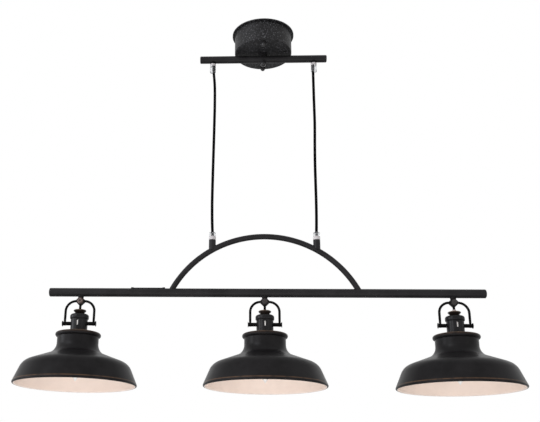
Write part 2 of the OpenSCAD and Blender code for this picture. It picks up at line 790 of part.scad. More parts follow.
module bulb_solid(inset) {
  radius = bulb_diameter / 2;
  length = bulb_tip_drop - glass_wide;
  curve = (radius * radius + length * length) / (2 * radius);
  intersection() {
    translate([radius - curve, -glass_wide]) circle(r = curve - inset, $fn = 200);
    translate([0, -glass_wide - length + inset]) square([radius, length - inset]);
  }
  polygon([
    [0, -glass_wide], [radius - inset, -glass_wide], [radius - inset, -glass_neck_end],
    [glass_neck / 2 - inset, -base_bottom - 1.4 * inset], [0, -base_bottom - 1.4 * inset]
  ]);
}

module bulb_glass() {
  color(clear) rotate_extrude() difference() {
    bulb_solid(0);
    bulb_solid(glass);
  }
}

module bulb_base() {
  color(steel) {
    translate([0, 0, -base_bottom]) cylinder(d = base_diameter, h = base_bottom - holder_floor - 4);
    translate([0, 0, -holder_floor - 4]) cylinder(d1 = base_diameter, d2 = 10, h = 4);
  }
}

module hub_left() { at_lamp(-1) hub(); }
module bail_left() { at_lamp(-1) bail(); }
module pivot_pins_left() { at_lamp(-1) pivot_pins(); }
module lead_left() { at_lamp(-1) lead(0); }
module bushing_left() { at_lamp(-1) bushing(0); }
module cup_left() { at_lamp(-1) cup(); }
module socket_cover_left() { at_lamp(-1) socket_cover(); }
module lampholder_left() { at_lamp(-1) lampholder(); }
module shade_left() { at_lamp(-1) shade(); }
module ring_nut_left() { at_lamp(-1) ring_nut(); }
module bulb_glass_left() { at_lamp(-1) bulb_glass(); }
module bulb_base_left() { at_lamp(-1) bulb_base(); }

module hub_middle() { at_lamp(0) hub(); }
module bail_middle() { at_lamp(0) bail(); }
module pivot_pins_middle() { at_lamp(0) pivot_pins(); }
module lead_middle() { at_lamp(0) lead(0); }
module bushing_middle() { at_lamp(0) bushing(0); }
module cup_middle() { at_lamp(0) cup(); }
module socket_cover_middle() { at_lamp(0) socket_cover(); }
module lampholder_middle() { at_lamp(0) lampholder(); }
module shade_middle() { at_lamp(0) shade(); }
module ring_nut_middle() { at_lamp(0) ring_nut(); }
module bulb_glass_middle() { at_lamp(0) bulb_glass(); }
module bulb_base_middle() { at_lamp(0) bulb_base(); }

module hub_right() { at_lamp(1) hub(); }
module bail_right() { at_lamp(1) bail(); }
module pivot_pins_right() { at_lamp(1) pivot_pins(); }
module lead_right() { at_lamp(1) lead(right_bushing_rise); }
module bushing_right() { at_lamp(1) bushing(right_bushing_rise); }
module cup_right() { at_lamp(1) cup(); }
module socket_cover_right() { at_lamp(1) socket_cover(); }
module lampholder_right() { at_lamp(1) lampholder(); }
module shade_right() { at_lamp(1) shade(); }
module ring_nut_right() { at_lamp(1) ring_nut(); }
module bulb_glass_right() { at_lamp(1) bulb_glass(); }
module bulb_base_right() { at_lamp(1) bulb_base(); }

mounting_plate();
canopy_shell();
canopy_studs();
canopy_cap_nuts();
terminal_block();
centre_nipple();
nipple_locknut();
bar_spacer();
bar_cap_nut();
upper_bar();
upper_end_plugs();
upper_collars();
upper_grips();
cord_tails();
cord_left();
cord_right();
lower_grips();
cord_bosses();
arch_tube();
lower_bar();
lower_end_plugs();
wiring_cover();
hub_set_screws();
pin_caps();
hub_left();
bail_left();
pivot_pins_left();
lead_left();
bushing_left();
cup_left();
socket_cover_left();
lampholder_left();
shade_left();
ring_nut_left();
bulb_glass_left();
bulb_base_left();
hub_middle();
bail_middle();
pivot_pins_middle();
lead_middle();
bushing_middle();
cup_middle();
socket_cover_middle();
lampholder_middle();
shade_middle();
ring_nut_middle();
bulb_glass_middle();
bulb_base_middle();
hub_right();
bail_right();
pivot_pins_right();
lead_right();
bushing_right();
cup_right();
socket_cover_right();
lampholder_right();
shade_right();
ring_nut_right();
bulb_glass_right();
bulb_base_right();
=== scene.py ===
import math

import bmesh
import bpy
from mathutils import Matrix, Vector


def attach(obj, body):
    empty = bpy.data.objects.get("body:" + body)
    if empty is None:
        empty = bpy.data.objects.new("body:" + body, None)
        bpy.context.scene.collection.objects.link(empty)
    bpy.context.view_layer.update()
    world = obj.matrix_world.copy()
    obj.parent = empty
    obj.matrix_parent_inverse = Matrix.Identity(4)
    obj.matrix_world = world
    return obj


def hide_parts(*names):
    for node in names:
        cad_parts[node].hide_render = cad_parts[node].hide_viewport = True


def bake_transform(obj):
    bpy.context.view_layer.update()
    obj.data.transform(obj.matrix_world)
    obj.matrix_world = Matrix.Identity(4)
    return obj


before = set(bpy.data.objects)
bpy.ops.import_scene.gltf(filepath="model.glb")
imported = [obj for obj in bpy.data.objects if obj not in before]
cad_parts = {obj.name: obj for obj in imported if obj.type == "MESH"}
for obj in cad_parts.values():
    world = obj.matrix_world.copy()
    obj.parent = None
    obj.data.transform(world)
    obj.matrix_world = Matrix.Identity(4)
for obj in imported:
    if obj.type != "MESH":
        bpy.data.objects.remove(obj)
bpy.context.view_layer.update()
scene = bpy.context.scene

# Sizes in metres, the same as the CAD model's
BAR = -0.624
LAMPS = {"left": -0.390, "middle": 0.0, "right": 0.390}
CORD_D = 0.0062
LEAD_D = 0.0052
UPPER_X, LOWER_X = 0.115, 0.112
HUB_DROP = 0.0193
GRIP_TOP = -0.075
GRIP_HEIGHT, LOW_GRIP_HEIGHT = 0.022, 0.017
GRIP_END = GRIP_TOP - GRIP_HEIGHT
LOW_GRIP_END = BAR + 0.11708
LOW_GRIP_TOP = LOW_GRIP_END + LOW_GRIP_HEIGHT
PIN = BAR - 0.0676
EYE_X = 0.0305
EYE_HALF = 0.0027
TIP_DROP = 0.1822

# Drops below the lower bar's axis, in millimetres
LEAD_TOP = 28.85
BUSHING_TOP = {"left": 37.6, "middle": 37.6, "right": 34.4}


# Camera
def aim_camera():
    """The photograph's view, found from its edges of bars, canopy, arch and shade rims."""
    pitch, roll, yaw = (math.radians(a) for a in (18.0555, -0.9542, -3.0318))
    focal, shift_x, shift_y, width = 756.26, 59.7, 28.87, 540
    turn = (
        Matrix.Rotation(roll, 3, "Y").transposed()
        @ Matrix.Rotation(pitch, 3, "X").transposed()
        @ Matrix.Rotation(yaw, 3, "Z")
    )
    spot = Matrix.Rotation(yaw, 3, "Z").transposed() @ Vector((-0.11639, -1.5482, -0.3889))
    spot.z += BAR
    right, ahead, up = (Vector(turn[i]) for i in range(3))
    world = Matrix((right, up, -ahead)).transposed().to_4x4()
    world.translation = spot
    data = bpy.data.cameras.new("camera")
    data.sensor_width = 36
    data.lens = focal / width * data.sensor_width
    data.shift_x = shift_x / width
    data.shift_y = shift_y / width
    data.clip_start, data.clip_end = 0.01, 60
    camera = bpy.data.objects.new("camera", data)
    camera.matrix_world = world
    scene.collection.objects.link(camera)
    scene.camera = camera


aim_camera()


# Meshes
def arc(cr, cz, radius, a0, a1, n=8):
    """Points on a circle round (cr, cz), from angle a0 to a1 in degrees."""
    angles = [math.radians(a0 + (a1 - a0) * i / n) for i in range(n + 1)]
    return [(cr + radius * math.cos(a), cz + radius * math.sin(a)) for a in angles]


def mm(points):
    """Profile points in mm, as metres."""
    return [(r / 1000, z / 1000) for r, z in points]


def under(points):
    """Profile points in mm under the lower bar's axis, as radius and height in metres."""
    return [(r / 1000, BAR + z / 1000) for r, z in points]


def finish_mesh(name, bm, sharp=32, materials=()):
    """An object from a bmesh, smooth but for its edges of more than sharp degrees."""
    bmesh.ops.remove_doubles(bm, verts=bm.verts, dist=1e-7)
    bmesh.ops.recalc_face_normals(bm, faces=bm.faces)
    limit = math.radians(sharp)
    for face in bm.faces:
        face.smooth = True
    for edge in bm.edges:
        if len(edge.link_faces) == 2 and edge.calc_face_angle(0) > limit:
            edge.smooth = False
    mesh = bpy.data.meshes.new(name)
    bm.to_mesh(mesh)
    bm.free()
    for material in materials:
        mesh.materials.append(material)
    piece = bpy.data.objects.new(name, mesh)
    scene.collection.objects.link(piece)
    return piece


TURNS = {
    "Z": Matrix.Identity(3),
    "X": Matrix(((0, 0, 1), (1, 0, 0), (0, 1, 0))),
    "-X": Matrix(((0, 0, -1), (-1, 0, 0), (0, 1, 0))),
}


def add_lathe(bm, profile, at=(0, 0, 0), axis="Z", steps=96, closed=True, slots=None, slot=0):
    """A profile of (radius, height) points turned about an axis through at.

    A third value moves that point's ring sideways. slots gives each ring of faces its own material slot.
    """
    turn = TURNS[axis]
    at = Vector(at)
    circle = [2 * math.pi * k / steps for k in range(steps)]
    rings = []
    for r, z, *aside in profile:
        shift = aside[0] if aside else 0
        angles = circle if r > 1e-6 else [0]
        spots = [(shift + r * math.cos(a), r * math.sin(a), z) for a in angles]
        rings.append([bm.verts.new(at + turn @ Vector(spot)) for spot in spots])
    last = len(rings) if closed else len(rings) - 1
    for j in range(last):
        low, high = rings[j], rings[(j + 1) % len(rings)]
        if len(low) == 1 and len(high) == 1:
            continue
        for k in range(steps):
            n = (k + 1) % steps
            if len(low) == 1:
                corners = (low[0], high[n], high[k])
            elif len(high) == 1:
                corners = (low[k], low[n], high[0])
            else:
                corners = (low[k], low[n], high[n], high[k])
            bm.faces.new(corners).material_index = slots[j] if slots else slot


def add_tube(bm, path, radius, sides=16):
    """A round tube along a path of points, with one radius or one for each point."""
    path = [Vector(p) for p in path]
    radii = radius if isinstance(radius, (list, tuple)) else [radius] * len(path)
    last = len(path) - 1
    tangents = [(path[min(i + 1, last)] - path[max(i - 1, 0)]).normalized() for i in range(last + 1)]
    side = tangents[0].orthogonal().normalized()
    circle = [2 * math.pi * k / sides for k in range(sides)]
    rings = []
    for p, t, r in zip(path, tangents, radii):
        side = (side - t * side.dot(t)).normalized()
        other = t.cross(side)
        rings.append([bm.verts.new(p + r * (side * math.cos(a) + other * math.sin(a))) for a in circle])
    for low, high in zip(rings, rings[1:]):
        for k in range(sides):
            n = (k + 1) % sides
            bm.faces.new((low[k], low[n], high[n], high[k]))
    bm.faces.new(rings[0][::-1])
    bm.faces.new(rings[-1])


def smooth_path(points, n=6):
    """Points along a smooth curve through the given ones."""
    pts = [Vector(p) for p in points]
    out = []
    for i in range(len(pts) - 1):
        p0, p1, p2, p3 = pts[max(i - 1, 0)], pts[i], pts[i + 1], pts[min(i + 2, len(pts) - 1)]
        for j in range(n):
            t = j / n
            line = 2 * p1 + (p2 - p0) * t
            curve = (2 * p0 - 5 * p1 + 4 * p2 - p3) * t * t + (3 * p1 - p0 - 3 * p2 + p3) * t**3
            out.append((line + curve) / 2)
    out.append(pts[-1])
    return out


# Materials
class Nodes:
    """A short way to build a material's node tree."""

    def __init__(self, name):
        self.material = bpy.data.materials.new(name)
        self.material.use_nodes = True
        self.tree = self.material.node_tree
        self.shader = self.tree.nodes["Principled BSDF"]
        self.where = self.add("ShaderNodeTexCoord").outputs["Object"]

    def add(self, kind, **values):
        node = self.tree.nodes.new(kind)
        for key, value in values.items():
            if hasattr(node, key):
                setattr(node, key, value)
            else:
                node.inputs[key.replace("_", " ")].default_value = value
        return node

    def link(self, a, b):
        self.tree.links.new(a, b)

    def set(self, **values):
        for key, value in values.items():
            self.shader.inputs[key.replace("_", " ")].default_value = value

    def noise(self, scale, detail=3.0, rough=0.55):
        node = self.add("ShaderNodeTexNoise", Scale=scale, Detail=detail, Roughness=rough)
        self.link(self.where, node.inputs["Vector"])
        return node.outputs["Fac"]

    def height(self):
        node = self.add("ShaderNodeSeparateXYZ")
        self.link(self.where, node.inputs[0])
        return node.outputs["Z"]

    def remap(self, fac, a, b, c, d):
        node = self.add("ShaderNodeMapRange", interpolation_type="SMOOTHSTEP")
        for i, v in enumerate((a, b, c, d)):
            node.inputs[i + 1].default_value = v
        self.link(fac, node.inputs[0])
        return node.outputs[0]

    def times(self, a, b):
        node = self.add("ShaderNodeMath", operation="MULTIPLY")
        for v, socket in ((a, node.inputs[0]), (b, node.inputs[1])):
            if isinstance(v, (int, float)):
                socket.default_value = v
            else:
                self.link(v, socket)
        return node.outputs[0]

    def mix(self, fac, a, b):
        node = self.add("ShaderNodeMix", data_type="RGBA")
        self.link(fac, node.inputs["Factor"])
        for v, socket in ((a, node.inputs[6]), (b, node.inputs[7])):
            if isinstance(v, tuple):
                socket.default_value = (*v[:3], 1)
            else:
                self.link(v, socket)
        return node.outputs[2]

    def bump(self, height, strength, distance=0.0003):
        node = self.add("ShaderNodeBump", Strength=strength, Distance=distance)
        self.link(height, node.inputs["Height"])
        self.link(node.outputs["Normal"], self.shader.inputs["Normal"])

    def to(self, socket, value):
        self.link(value, self.shader.inputs[socket])


def paint(name, colour, rough=0.42, grain=1300, bump=0.07, specular=0.15, bands=(), speckle=None):
    """Dark paint with an uneven sheen and a fine grain.

    bands are worn places and painted highlights, each (lowest, highest, softness, colour, amount) with
    heights in metres.
    speckle is the colour of sparse pale flecks.
    """
    n = Nodes(name)
    cloud = n.noise(24, 4, 0.6)
    fine = n.noise(grain, 2, 0.5)
    tint = tuple(c * 1.5 + 0.002 for c in colour)
    base = n.mix(n.remap(cloud, 0.3, 0.7, 0, 1), colour, tint)
    if speckle:
        base = n.mix(n.remap(n.noise(grain * 0.55, 1, 0.4), 0.6, 0.7, 0, 0.8), base, speckle)
    if bands:
        z = n.height()
        ragged = n.remap(n.noise(70, 3, 0.6), 0.3, 0.6, 0.35, 1)
        for low, high, soft, lighter_colour, amount in bands:
            above = n.remap(z, low - soft, low + soft, 0, 1)
            below = n.remap(z, high - soft, high + soft, 1, 0)
            inside = n.times(above, below)
            base = n.mix(n.times(inside, n.times(ragged, amount)), base, lighter_colour)
    n.to("Base Color", base)
    n.to("Roughness", n.remap(cloud, 0.25, 0.75, rough - 0.05, rough + 0.05))
    n.bump(fine, bump)
    n.set(Specular_IOR_Level=specular)
    return n.material


def plain(name, colour, rough=0.5, metallic=0.0, grain=400, bump=0.05, vary=0.12, specular=0.5):
    """A surface of one kind of colour with slight clouds, a fine grain and an uneven sheen."""
    n = Nodes(name)
    fine = n.noise(grain, 3, 0.5)
    dark = tuple(c * (1 - vary) for c in colour)
    light = tuple(min(1, c * (1 + vary)) for c in colour)
    n.to("Base Color", n.mix(n.remap(n.noise(40, 3, 0.6), 0.3, 0.7, 0, 1), dark, light))
    n.to("Roughness", n.remap(fine, 0.2, 0.8, max(0.02, rough - 0.07), rough + 0.07))
    n.bump(fine, bump)
    n.set(Metallic=metallic, Specular_IOR_Level=specular)
    return n.material


def clear(name, dark, light, rough, transmission, ior, coat=0.0):
    """Clear or frosted glass or plastic."""
    n = Nodes(name)
    fine = n.noise(500, 3, 0.5)
    n.to("Base Color", n.mix(n.remap(n.noise(90, 3, 0.6), 0.3, 0.7, 0, 1), dark, light))
    n.to("Roughness", n.remap(fine, 0.2, 0.8, rough[0], rough[1]))
    n.bump(fine, 0.04)
    n.set(Transmission_Weight=transmission, IOR=ior, Coat_Weight=coat, Coat_Roughness=0.03)
    return n.material


BLACK = (0.0095, 0.009, 0.0098)
BRONZE = (0.085, 0.05, 0.031)
BROWN = (0.03, 0.019, 0.014)

bar_paint = paint("bar paint", BLACK, specular=0.13)
rod_paint = paint("rod paint", (0.003, 0.0028, 0.003), rough=0.5, specular=0.03)
canopy_paint = paint(
    "canopy paint",
    (0.0052, 0.005, 0.0056),
    rough=0.5,
    grain=900,
    bump=0.6,
    specular=0.2,
    speckle=(0.13, 0.13, 0.14),
)
nut_paint = paint("nut paint", (0.012, 0.0115, 0.0125), rough=0.2, bump=0.02, specular=0.35)
cover_paint = paint("cover paint", (0.007, 0.0067, 0.0076), rough=0.25, grain=700, bump=0.02, specular=0.12)


def lit_knuckle_paint(lamp, lighter_colour):
    """Black paint, mottled, with a painted highlight on the knuckle's front facet."""
    n = Nodes(f"knuckle paint with painted highlight {lamp}")
    away = n.add("ShaderNodeVectorMath", operation="SUBTRACT")
    n.link(n.where, away.inputs[0])
    away.inputs[1].default_value = (LAMPS[lamp], 0, BAR - HUB_DROP)
    flat = n.add("ShaderNodeVectorMath", operation="MULTIPLY")
    n.link(away.outputs[0], flat.inputs[0])
    flat.inputs[1].default_value = (1, 0, 1)
    reach = n.add("ShaderNodeVectorMath", operation="LENGTH")
    n.link(flat.outputs[0], reach.inputs[0])
    # The front facet, where a highlight is painted in a paler colour
    lit_facet = n.remap(reach.outputs["Value"], 0.0045, 0.0082, 1, 0)
    mottle = n.remap(n.noise(420, 3, 0.6), 0.3, 0.65, 0.45, 1)
    n.to("Base Color", n.mix(n.times(lit_facet, mottle), (0.0045, 0.004, 0.0042), lighter_colour))
    n.to("Roughness", n.remap(n.noise(24, 4, 0.6), 0.25, 0.75, 0.35, 0.45))
    n.bump(n.noise(600, 2, 0.5), 0.25)
    n.set(Specular_IOR_Level=0.1)
    return n.material


# Painted highlight colours for the front facets, paler and warmer on the left lamp than on the others
lit_knuckle_paints = {
    "left": lit_knuckle_paint("left", (0.17, 0.13, 0.12)),
    "middle": lit_knuckle_paint("middle", (0.055, 0.05, 0.052)),
    "right": lit_knuckle_paint("right", (0.055, 0.05, 0.05)),
}
cup_paint = paint(
    "cup paint",
    (0.009, 0.0058, 0.0044),
    rough=0.36,
    bump=0.05,
    specular=0.2,
    bands=[(BAR - 0.0400, BAR - 0.0380, 0.0004, (0.2, 0.135, 0.09), 0.8)],
)
shade_paint = paint(
    "shade paint",
    (0.0062, 0.0057, 0.0062),
    rough=0.36,
    bump=0.05,
    specular=0.09,
    # Ring top: rubbed bronze, painted bright as a highlight; below it rubbed brown; a rubbed bronze line
    # where the rim's bead meets the wall
    bands=[
        (BAR - 0.0890, BAR - 0.0870, 0.0005, (0.15, 0.1, 0.07), 0.9),
        (BAR - 0.0920, BAR - 0.0890, 0.0009, BROWN, 0.8),
        (BAR - 0.1917, BAR - 0.1898, 0.0004, BRONZE, 0.9),
    ],
)
cord_sheath = plain("cord sheath", (0.0016, 0.0016, 0.0018), rough=0.6, grain=900, bump=0.12, specular=0.02)
collar_black = plain("collar black", (0.004, 0.004, 0.0045), rough=0.5, grain=700, specular=0.06)
zinc = plain("zinc plate", (0.5, 0.5, 0.52), rough=0.34, metallic=1.0, grain=600, bump=0.08)
nickel = plain("nickel", (0.62, 0.6, 0.56), rough=0.25, metallic=1.0, grain=500, bump=0.04)
screw_bronze = plain("screw bronze", (0.04, 0.035, 0.032), rough=0.4, metallic=0.5, grain=500)
pale_bushing = plain("pale bushing", (0.5, 0.43, 0.42), rough=0.5, grain=500)
porcelain = plain("lampholder body", (0.8, 0.78, 0.76), rough=0.3, grain=200, bump=0.02, vary=0.04)
enamel = plain("enamel", (0.88, 0.752, 0.673), rough=0.36, grain=500, bump=0.03, vary=0.025, specular=0.4)
tungsten = plain("tungsten", (0.4, 0.39, 0.38), rough=0.5, metallic=1.0, grain=3000)
grip_clear = clear("clear grip", (0.7, 0.71, 0.73), (0.84, 0.85, 0.86), (0.1, 0.2), 0.92, 1.16)
grip_frosted = clear("frosted grip", (0.62, 0.59, 0.6), (0.76, 0.73, 0.74), (0.3, 0.45), 0.35, 1.3)
# A paler, less clear glass for the bulb's tip, as a painted highlight
bulb_tip_painted_bright = clear("bulb tip painted bright", (0.93, 0.93, 0.92), (0.96, 0.96, 0.95), (0.1, 0.2), 0.15, 1.3)
bulb_glass = clear("bulb glass", (0.97, 0.96, 0.94), (1.0, 0.99, 0.98), (0.0, 0.02), 1.0, 1.1, coat=1.0)


def dress(nodes, material):
    """One material for each of these CAD pieces."""
    for node in nodes:
        piece = bpy.data.objects[node]
        for slot in piece.material_slots:
            slot.material = material
        if not piece.material_slots:
            piece.data.materials.append(material)


def of_each_lamp(*names):
    return [f"{name}_{lamp}" for name in names for lamp in LAMPS]


dress(["mounting_plate", "canopy_studs", "centre_nipple", "nipple_locknut"] + of_each_lamp("ring_nut"), zinc)
dress(["terminal_block"] + of_each_lamp("lampholder"), porcelain)
dress(["canopy_shell"], canopy_paint)
dress(["canopy_cap_nuts", "bar_cap_nut"], nut_paint)
dress(["bar_spacer", "upper_bar", "upper_end_plugs"], bar_paint)
dress(["cord_bosses", "arch_tube", "lower_bar", "lower_end_plugs", "wiring_cover"], bar_paint)
dress(["pin_caps"] + of_each_lamp("bail", "pivot_pins"), rod_paint)
dress(["upper_collars"], collar_black)
dress(["upper_grips", "lower_grips"], grip_clear)
dress(["cord_tails"] + of_each_lamp("lead"), cord_sheath)
dress(["hub_set_screws"], screw_bronze)
for lamp, material in lit_knuckle_paints.items():
    dress([f"hub_{lamp}"], material)
dress(of_each_lamp("bushing"), pale_bushing)
dress(of_each_lamp("cup"), cup_paint)
dress(of_each_lamp("socket_cover"), cover_paint)
dress(of_each_lamp("shade"), shade_paint)
dress(of_each_lamp("bulb_glass"), bulb_glass)
dress(of_each_lamp("bulb_base"), nickel)


def soften(node, width, angle=35):
    """Small rounds on the sharp edges of a CAD piece."""
    bevel = bpy.data.objects[node].modifiers.new("edge", "BEVEL")
    bevel.width = width
    bevel.segments = 2
    bevel.limit_method = "ANGLE"
    bevel.angle_limit = math.radians(angle)
    bevel.miter_outer = "MITER_ARC"


for node, width in {
    "canopy_shell": 0.0005,
    "canopy_cap_nuts": 0.0005,
    "bar_cap_nut": 0.0004,
    "upper_collars": 0.0005,
    "wiring_cover": 0.0003,
    "cord_bosses": 0.0004,
    "mounting_plate": 0.0004,
    "nipple_locknut": 0.0004,
    "terminal_block": 0.0008,
    "hub_set_screws": 0.0002,
    "hub_left": 0.0004,
    "hub_middle": 0.0004,
    "hub_right": 0.0004,
}.items():
    soften(node, width)


# Cords: their routes repeat the CAD model's, and their two ends are inside the grips
LEFT_BEND = [
    (-0.490, 0), (-0.470, -0.001), (-0.420, -0.0015), (-0.340, 0),
    (-0.270, 0.0015), (-0.190, 0.003), (-0.130, 0.003), (-0.097, 0),
]
RIGHT_BEND = [
    (-0.490, 0), (-0.460, 0.0008), (-0.420, 0.001), (-0.330, 0),
    (-0.280, 0.0005), (-0.230, 0.0015), (-0.160, 0.0005), (-0.097, 0),
]


def bend_at(z, bend):
    """How far a cord lies off its straight line at a height."""
    if z <= bend[0][0]:
        return bend[0][1]
    for (z0, v0), (z1, v1) in zip(bend, bend[1:]):
        if z <= z1:
            return v0 + (v1 - v0) * (z - z0) / (z1 - z0)
    return bend[-1][1]


def hanging_cord(side, top_x, bottom_x, bend):
    count = 30
    route = []
    for j in range(count + 1):
        t = j / count
        z = GRIP_END + t * (LOW_GRIP_TOP - GRIP_END)
        offset = 0 if j in (0, count) else bend_at(z, bend)
        route.append(Vector((top_x + t * (bottom_x - top_x) + offset, 0, z)))
    for _ in range(2):
        between = [(a + 2 * b + c) / 4 for a, b, c in zip(route, route[1:], route[2:])]
        route = [route[0]] + between + [route[-1]]
    inside = [Vector((bottom_x, 0, LOW_GRIP_TOP - depth)) for depth in (0.004, 0.009, 0.0165, 0.0168)]
    path = smooth_path(route, 4) + inside
    bm = bmesh.new()
    add_tube(bm, path, CORD_D / 2, 20)
    piece = finish_mesh(f"cord_{side}_sheath", bm, 40, [cord_sheath])
    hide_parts(f"cord_{side}")
    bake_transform(piece)


hanging_cord("left", -UPPER_X, -LOWER_X, LEFT_BEND)
hanging_cord("right", UPPER_X, LOWER_X, RIGHT_BEND)


# Cord grips: a frosted end next to the bar or boss, and clear plastic where the cord shows
def add_grip(bm, x, top, way, height, radius, frosted, shift):
    """One grip, in mm from its top.

    way is -1 where it hangs down, and 1 where it stands up. shift is from its bore to its own axis.
    """
    bore = 3.09
    body = [(bore, 0), (radius - 0.5, 0, shift), (radius, 0.5, shift)]
    body += [(radius, frosted - 0.4, shift), (radius - 0.4, frosted, shift), (bore, frosted)]
    cap = [(bore, frosted + 0.02), (radius - 0.4, frosted + 0.02, shift)]
    cap += [(radius - 0.05, frosted + 0.4, shift)]
    cap += [(radius - 0.05, height - 2.2, shift), (radius - 0.3, height - 1.1, shift)]
    cap += [(radius - 0.8, height - 0.35, shift), (radius - 1.5, height, shift), (bore, height)]
    for shape, slot in ((body, 0), (cap, 1)):
        points = [(r / 1000, top + way * z / 1000, *(v / 1000 for v in aside)) for r, z, *aside in shape]
        add_lathe(bm, points, (x, 0, 0), steps=48, slot=slot)


def make_grips(name, node, body, spread, top, way, height, radius, frosted, shift=0):
    bm = bmesh.new()
    for side in (-1, 1):
        add_grip(bm, side * spread, top, way, height * 1000, radius, frosted, side * shift)
    grips = finish_mesh(name, bm, 30, [grip_frosted, grip_clear])
    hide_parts(node)
    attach(grips, body)


make_grips(
    "upper_grips_clear", "upper_grips", "swivel_bar",
    UPPER_X, GRIP_TOP, -1, GRIP_HEIGHT, radius=6.75, frosted=6, shift=2,
)
make_grips(
    "lower_grips_clear", "lower_grips", "frame",
    LOWER_X, LOW_GRIP_END, 1, LOW_GRIP_HEIGHT, radius=7.5, frosted=8,
)


# Lamp heads: profiles in mm, with heights measured from the lower bar's axis
def shade_profile():
    """The spun shade with its rolled ring, flare, shoulder and beaded rim, and which faces are enamelled."""
    flat = [(15.4, -88), (28, -88), (40.6, -88)]
    ring = arc(42.6, -92.3, 4.7, 100, -85, 18)
    neck = [(43, -98.5), (43, -105), (43, -110.6)]
    flare = arc(67, -110.6, 24, 180, 249.5, 14)
    slope = [(71.6, -137.94), (84.6, -142.8)]
    shoulder = arc(87.46, -174.83, 29, 69.5, 23.2, 14)
    wall = [(118, -172.5), (122.5, -183), (125.9, -190.9)]
    bead_front = arc(124.4, -194, 2.6, 23.2, -100, 9)
    bead_rear = arc(124.4, -194, 2.6, -100, -170, 6)[1:]
    inner_wall = [(121.6, -191.5), (120.9, -186), (119, -178.5), (116, -170.9)]
    inner_shoulder = arc(87.46, -174.83, 27.8, 23.2, 69.5, 12)
    inner_slope = [(84.2, -143.93), (71.2, -139.07)]
    inner_flare = arc(67, -110.6, 25.2, 249.5, 180, 12)
    inner_neck = [(41.8, -105), (41.8, -93), (41.8, -89.2), (28, -89.2), (15.4, -89.2)]
    painted = flat + ring + neck + flare + slope + shoulder + wall + bead_front
    enamelled = bead_rear + inner_wall + inner_shoulder + inner_slope + inner_flare + inner_neck
    slots = [0] * (len(painted) - 1) + [1] * len(enamelled) + [0]
    return under(painted + enamelled), slots


def holder_profile():
    """The lampholder, with a thread on its skirt for the ring nut."""
    points = [(2.5, -62), (15.8, -62), (16.6, -62.8), (16.6, -87.6), (15.25, -88), (15.25, -98.9)]
    z = -98.9
    while z > -109.5:
        points += [(14.75, z - 0.6), (14.75, z - 1.1), (15.25, z - 1.7), (15.25, z - 2.2)]
        z -= 2.2
    points += [(15.25, -111.3), (14.9, -112), (13.7, -112), (13.35, -111.4), (13.35, -86), (2.5, -86)]
    return under(points)


def base_profile():
    """The bulb's screw base."""
    points = [(0, -86), (4.6, -86.1), (4.9, -87.4), (8.6, -89.4), (11.9, -90.6)]
    z = -91.2
    for _ in range(7):
        points += [(12.0, z), (12.9, z - 0.8), (12.95, z - 1.2), (12.2, z - 2.2)]
        z -= 2.5
    points += [(12.4, -109.2), (12.9, -109.8), (12.9, -110.8), (12.2, -111), (0, -111)]
    return under(points)


def glass_profile():
    """The candle-shaped bulb with its wall."""
    widest, curve, wall = 17.5, 80.18, 0.75
    outside = [(12.25, -110.9), (12.3, -113), (12.9, -116.5), (14.2, -121), (15.9, -126), (17.1, -131)]
    for i in range(15):
        drop = 46 * (i / 14) ** 0.9
        r = widest - curve + math.sqrt(curve**2 - drop**2)
        if r > 2.3:
            outside.append((r, -138 - drop))
    outside += [(1.75, -185.2), (1.3, -186.6), (0.8, -187.5), (0, -187.9)]
    inside = [(max(0.0, r - wall), z + (0.6 if r < 3 else 0.15)) for r, z in outside[:-2]]
    inside[0] = (inside[0][0], -110.9)
    inside.append((0, inside[-1][1] - 0.3))
    return under(outside + inside[::-1])


STEM = [
    (0, -111.5), (7.5, -111.6), (6.2, -114), (3.2, -119),
    (2.4, -126), (2.6, -131), (1.6, -132.4), (0, -132.6),
]
WIRE = [(1.4, -120), (1.6, -131.5), (3.2, -137), (5.6, -143.5), (6, -145)]


def add_supports(bm, x):
    for side in (-1, 1):
        points = [(x + side * a / 1000, 0, BAR + z / 1000) for a, z in WIRE]
        add_tube(bm, smooth_path(points, 4), 0.00022, 8)


def add_filament(bm, x):
    """A fine coil hung between the ends of the two support wires."""
    turns, steps, half, coil_r = 40, 6, 6.0, 0.00045
    end_z, sag = -145, 2.2
    path = []
    for i in range(turns * steps + 1):
        t = i / (turns * steps)
        a = 2 * math.pi * turns * t
        z = (end_z - sag * math.sin(math.pi * t)) / 1000
        path.append((x + half * (2 * t - 1) / 1000, coil_r * math.cos(a), BAR + z + coil_r * math.sin(a)))
    add_tube(bm, path, 0.00011, 5)


def seal_profile(top):
    """The pale bushing, round the lead."""
    return under([
        (3.6, -top), (3.8, -top - 0.25), (5.1, -42), (5.1, -46.6),
        (1.8, -46.6), (1.8, -top - 0.7), (2.35, -top),
    ])


# The bail's eye and the pin's cap, each along the pin's axis
EYE = [
    (2.0, -2.7), (3.7, -2.7), (4.15, -2.4), (4.3, -1.9),
    (4.3, 1.9), (4.15, 2.4), (3.7, 2.7), (2.0, 2.7),
]
CAP = [
    (0, 0), (3.7, 0), (3.9, 0.15), (4.0, 0.5), (4.3, 0.9), (4.9, 1.25), (5.55, 1.5),
    (5.85, 1.7), (5.9, 1.95), (5.85, 2.22), (5.6, 2.4), (3.2, 2.4), (2.9, 2.15), (0, 2.1),
]


